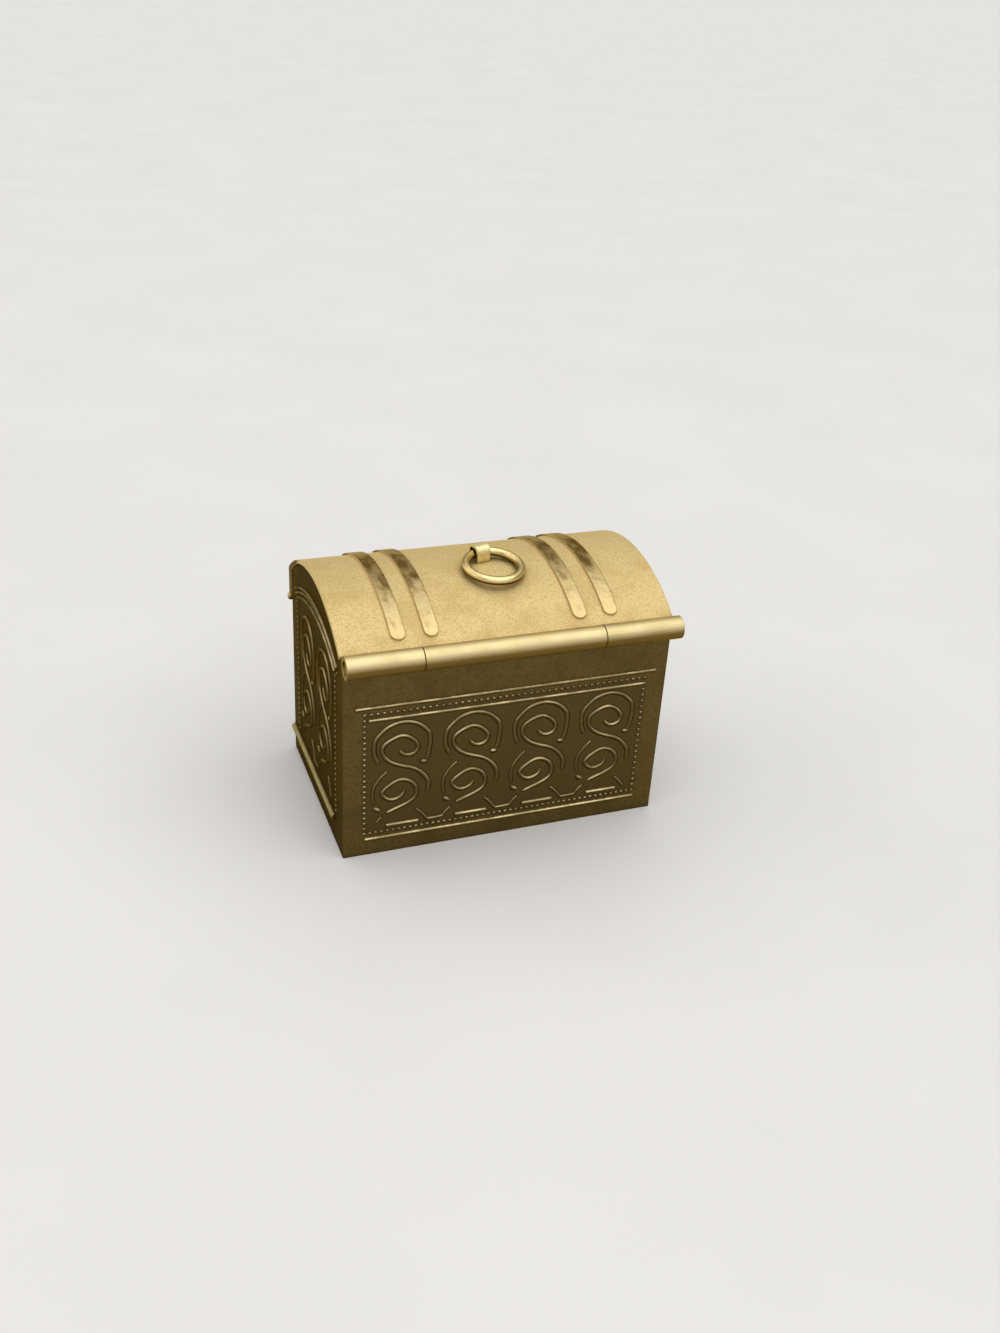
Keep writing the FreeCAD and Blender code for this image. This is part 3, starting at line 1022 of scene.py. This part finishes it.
@dataclass(frozen=True)
class Viewpoint:
    """The photograph's viewpoint, fitted to the box's corners, edges and vault.

    Attributes:
        position_mm: where the camera stands, from the middle of the box's foot.
        yaw, pitch, roll: its turns in degrees: right of +Y, down from level, and about its line of sight.
        focal_px: its focal length in pixels of the photograph.
        sensor_mm, clip_mm: the sensor's longer side, and how near the camera starts to see.
    """

    position_mm: tuple[float, float, float] = (-88.7, -238.1, 169.8)
    yaw: float = 21.74
    pitch: float = 29.01
    roll: float = -3.55
    focal_px: float = 1326.9
    sensor_mm: float = 36.0
    clip_mm: float = 10.0

    def build(self) -> None:
        """Sets up the scene's camera."""
        yaw, pitch, roll = (math.radians(angle) for angle in (self.yaw, self.pitch, self.roll))
        ahead = math.cos(pitch)
        forward = Vector((math.sin(yaw) * ahead, math.cos(yaw) * ahead, -math.sin(pitch)))
        level = Vector((math.cos(yaw), -math.sin(yaw), 0))
        down = forward.cross(level)
        right = level * math.cos(roll) + down * math.sin(roll)
        image_down = down * math.cos(roll) - level * math.sin(roll)
        turn = Matrix((right, -image_down, -forward)).transposed().to_4x4()
        data = bpy.data.cameras.new("photo_camera")
        data.sensor_fit = "AUTO"
        data.sensor_width = self.sensor_mm
        data.lens = self.focal_px / PHOTO_HEIGHT_PX * self.sensor_mm
        data.clip_start = self.clip_mm * MM
        camera = put_in_scene("photo_camera", data)
        camera.matrix_world = Matrix.Translation(Vector(self.position_mm) * MM) @ turn
        bpy.context.scene.camera = camera


@dataclass(frozen=True)
class Softbox:
    """A wide soft light, so far off that it lights the floor evenly.

    Attributes:
        towards: the direction from the box to the light.
        spread: how wide it looks from the box, in degrees.
    """

    name: str
    towards: tuple[float, float, float]
    spread: float
    strength: float
    colour: str

    def build(self) -> None:
        """Adds the light to the scene."""
        data = bpy.data.lights.new(self.name, "SUN")
        data.angle = math.radians(self.spread)
        data.energy = self.strength
        data.color = srgb(self.colour)[:3]
        light = put_in_scene(self.name, data)
        light.rotation_euler = Vector(self.towards).to_track_quat("Z", "Y").to_euler()


@dataclass(frozen=True)
class Studio:
    """A pale floor in a room with dim walls, a light ceiling, a wide window in front and one at the left.

    The glow of the walls and the ceiling goes by how high a direction points, from 0 level to 1 straight
    up, and that of a window by how near it points to the window's middle, up to about 1.

    Attributes:
        floor_half_size: half the floor's width, in metres.
        cloud_mm, cloud_limits, cloud_detail: width, noise values and raggedness of a cloud in its paint.
        wall_from_to, ceiling_from_to, window_from_to, side_from_to: where each glow begins and is full.
        window_towards, side_towards: directions from the box to the two windows.
    """

    floor_half_size: float = 20.0
    floor_colour: str = "#dfdbd4"
    floor_cloud: str = "#dcd8d1"
    floor_roughness: float = 0.6
    cloud_mm: float = 60.0
    cloud_limits: Range = (0.3, 0.7)
    cloud_detail: float = 3.0
    room_colour: str = "#fbfcff"
    horizon_glow: float = 0.68
    wall_glow: float = 0.32
    wall_from_to: Range = (0.08, 0.26)
    ceiling_glow: float = 1.25
    ceiling_from_to: Range = (0.44, 0.9)
    window_glow: float = 0.92
    window_towards: tuple[float, float, float] = (0.05, -0.78, 0.62)
    window_from_to: Range = (0.55, 0.93)
    side_glow: float = 1.15
    side_towards: tuple[float, float, float] = (-0.92, 0.22, 0.32)
    side_from_to: Range = (0.62, 0.95)
    lights: tuple[Softbox, ...] = (
        Softbox("overhead_softbox", (0.2, -0.35, 0.9), 70.0, 0.92, "#f4f7ff"),
    )

    def build(self) -> None:
        """Makes the floor, the room's glow and the lights."""
        half = self.floor_half_size
        corners = [(-half, -half, 0), (half, -half, 0), (half, half, 0), (-half, half, 0)]
        mesh = bpy.data.meshes.new("studio_floor")
        mesh.from_pydata(corners, [], [(0, 1, 2, 3)])
        mesh.materials.append(self._floor_material())
        floor = put_in_scene("studio_floor", mesh)
        self._room()
        for light in self.lights:
            light.build()
        # The plain transform keeps the lacquer's yellow, which a filmic one would grey
        bpy.context.scene.view_settings.view_transform = "Standard"

    def _floor_material(self) -> bpy.types.Material:
        """Makes the matt painted board.

        Returns:
            The material, pale and even, with clouds so faint that it only looks soft.
        """
        material = bpy.data.materials.new("matt_painted_board")
        surface = Surface(material, self.floor_colour, self.floor_roughness)
        clouds = surface.patches(self.cloud_mm, self.cloud_limits, self.cloud_detail)
        surface.layer(clouds, self.floor_cloud)
        shader = surface.tree.nodes["Principled BSDF"]
        surface.tree.links.new(surface.colour, shader.inputs["Base Color"])
        shader.inputs["Roughness"].default_value = self.floor_roughness
        return material

    def _room(self) -> None:
        """Gives the world the room's glow."""
        world = bpy.data.worlds.new("studio_room")
        world.use_nodes = True
        tree = world.node_tree
        direction = add(tree, "ShaderNodeTexCoord", output="Generated")
        rise = add(tree, "ShaderNodeSeparateXYZ", {0: direction}, "Z")
        to_window, to_side = (
            add(tree, "ShaderNodeVectorMath", {0: direction, 1: towards}, "Value", operation="DOT_PRODUCT")
            for towards in (self.window_towards, self.side_towards))
        glow: Socket | float = self.horizon_glow
        for value, (start, full), part_glow in (
                (rise, self.wall_from_to, self.wall_glow),
                (rise, self.ceiling_from_to, self.ceiling_glow),
                (to_window, self.window_from_to, self.window_glow),
                (to_side, self.side_from_to, self.side_glow)):
            share = add(tree, "ShaderNodeMapRange", {"Value": value, "From Min": start, "From Max": full},
                        interpolation_type=SMOOTH)
            glow = add(tree, "ShaderNodeMix", {0: share, 2: glow, 3: part_glow}, data_type="FLOAT")
        background = tree.nodes["Background"]
        background.inputs["Color"].default_value = srgb(self.room_colour)
        tree.links.new(glow, background.inputs["Strength"])
        bpy.context.scene.world = world


# The box

class TrinketBox:
    """The dressed box: a finish for every node of the construction, and the embossed work."""

    FINISHES: dict[str, Brass] = {
        "base_plate": SANDBLASTED,
        "hinge_side_wall": EMBOSSED,
        "opening_side_wall": EMBOSSED,
        "left_end_panel": EMBOSSED,
        "right_end_panel": EMBOSSED,
        "left_base_moulding": WORN,
        "right_base_moulding": WORN,
        "hinge_knuckle_left": DRAWN,
        "hinge_knuckle_right": DRAWN,
        "hinge_knuckle_lid": DRAWN,
        "hinge_pin": BUFFED,
        "lid_shell": SANDBLASTED,
        "lid_edge_bead": DRAWN,
        "ring_eye": BRUSHED,
        "pull_ring": BUFFED,
    }

    def __init__(self) -> None:
        """Makes one material for each finish."""
        self.materials = {finish: finish.build() for finish in dict.fromkeys(self.FINISHES.values())}

    def dress_nodes(self) -> None:
        """Gives every node of the construction its finish."""
        for name, finish in self.FINISHES.items():
            material = self.materials[finish]
            for material_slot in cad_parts[name].material_slots:
                material_slot.link = "OBJECT"
                material_slot.material = material
            log.info("%s: %s", name, material.name)

    def emboss(self) -> None:
        """Adds the scrolls and beads to the four sides."""
        side, end = SIZES.half_depth, SIZES.half_length
        for relief, name, origin, across, outward in (
                (LongWallRelief, "hinge_side", (0, -side, 0), (1, 0, 0), (0, -1, 0)),
                (LongWallRelief, "opening_side", (0, side, 0), (-1, 0, 0), (0, 1, 0)),
                (EndRelief, "left_end", (-end, 0, 0), (0, -1, 0), (-1, 0, 0)),
                (EndRelief, "right_end", (end, 0, 0), (0, 1, 0), (1, 0, 0))):
            face = FaceOfBox(name, Vector(origin), Vector(across), Vector(outward))
            relief(face).build(self.materials[EMBOSSED])


def main() -> None:
    """Builds the picture."""
    logging.basicConfig(level=logging.INFO, format="%(name)s: %(message)s")
    Viewpoint().build()
    Studio().build()
    box = TrinketBox()
    box.dress_nodes()
    box.emboss()


if __name__ == "__main__":
    main()
